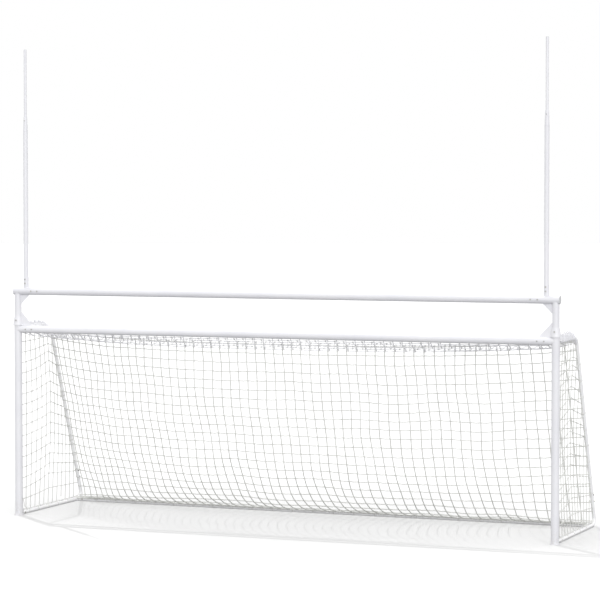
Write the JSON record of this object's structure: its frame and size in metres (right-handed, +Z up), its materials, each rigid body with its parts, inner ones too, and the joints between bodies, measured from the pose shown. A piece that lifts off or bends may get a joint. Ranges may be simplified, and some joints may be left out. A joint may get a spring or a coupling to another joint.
{
  "type": "combination soccer and football goal",
  "caption": "Full-size soccer goal frame with a net on bent side frames, and a football crossbar with two uprights plugged into the post tops.",
  "frame": {"origin": "on the ground, midway between the goal posts and midway between the front of the foot plates and the back of the side frames", "axes": "+X along the goal line to the right as seen from the field, +Y to the back of the goal, +Z up"},
  "size_m": [7.5488, 1.8935, 6.2],
  "materials": {
    "powder_coat": "satin white powder coat on steel tube",
    "zinc_fastener": "zinc plated",
    "galvanised_sleeve": "galvanised",
    "cap_plastic": "white moulded plastic",
    "net_twine": "white knotted twine, square mesh"
  },
  "bodies": {
    "goal_frame": {"back_stay_left": "powder_coat", "back_stay_right": "powder_coat", "crossbar_bolts": "zinc_fastener", "crossbar_spigot_left": "galvanised_sleeve", "crossbar_spigot_right": "galvanised_sleeve", "depth_bracket_left": "powder_coat", "depth_bracket_right": "powder_coat", "foot_plate_left": "powder_coat", "foot_plate_right": "powder_coat", "frame_bolts": "zinc_fastener", "goal_post_left": "powder_coat", "goal_post_right": "powder_coat", "net_back": "net_twine", "net_left": "net_twine", "net_lugs_crossbar": "powder_coat", "net_lugs_left": "powder_coat", "net_lugs_rear": "powder_coat", "net_lugs_right": "powder_coat", "net_right": "net_twine", "rail_bracket_left": "powder_coat", "rail_bracket_right": "powder_coat", "rear_bracket_left": "powder_coat", "rear_bracket_right": "powder_coat", "rear_rail": "powder_coat", "side_rail_left": "powder_coat", "side_rail_right": "powder_coat", "soccer_crossbar": "powder_coat", "stay_sleeve_left": "galvanised_sleeve", "stay_sleeve_right": "galvanised_sleeve"},
    "football_section": {"post_joiner_left": "powder_coat", "post_joiner_right": "powder_coat", "upper_corner_left": "powder_coat", "upper_corner_right": "powder_coat", "upper_end_cap_left": "cap_plastic", "upper_end_cap_right": "cap_plastic", "upper_gusset_left": "powder_coat", "upper_gusset_right": "powder_coat", "lower_gusset_left": "powder_coat", "lower_gusset_right": "powder_coat", "upper_spigot_left": "galvanised_sleeve", "upper_spigot_right": "galvanised_sleeve", "upright_socket_left": "powder_coat", "upright_socket_right": "powder_coat", "football_crossbar": "powder_coat", "football_bolts": "zinc_fastener", "socket_screws": "zinc_fastener", "collar_screws": "zinc_fastener"},
    "upright_left": {"upright_tube_left": "powder_coat", "upright_reducer_left": "powder_coat", "reducer_screw_left": "zinc_fastener"},
    "tip_left": {"upright_tip_left": "powder_coat", "tip_cap_left": "cap_plastic"},
    "upright_right": {"upright_tube_right": "powder_coat", "upright_reducer_right": "powder_coat", "reducer_screw_right": "zinc_fastener"},
    "tip_right": {"upright_tip_right": "powder_coat", "tip_cap_right": "cap_plastic"}
  },
  "joints": [
    {"name": "football_section_lift", "type": "slide", "parent": "goal_frame", "child": "football_section", "axis": [0, 0, 1], "range_m": [0, 0.25]},
    {"name": "upright_left_lift", "type": "slide", "parent": "football_section", "child": "upright_left", "axis": [0, 0, 1], "range_m": [0, 0.16]},
    {"name": "tip_left_telescope", "type": "slide", "parent": "upright_left", "child": "tip_left", "axis": [0, 0, 1], "range_m": [-0.85, 0]},
    {"name": "upright_right_lift", "type": "slide", "parent": "football_section", "child": "upright_right", "axis": [0, 0, 1], "range_m": [0, 0.16]},
    {"name": "tip_right_telescope", "type": "slide", "parent": "upright_right", "child": "tip_right", "axis": [0, 0, 1], "range_m": [-0.85, 0]}
  ]
}
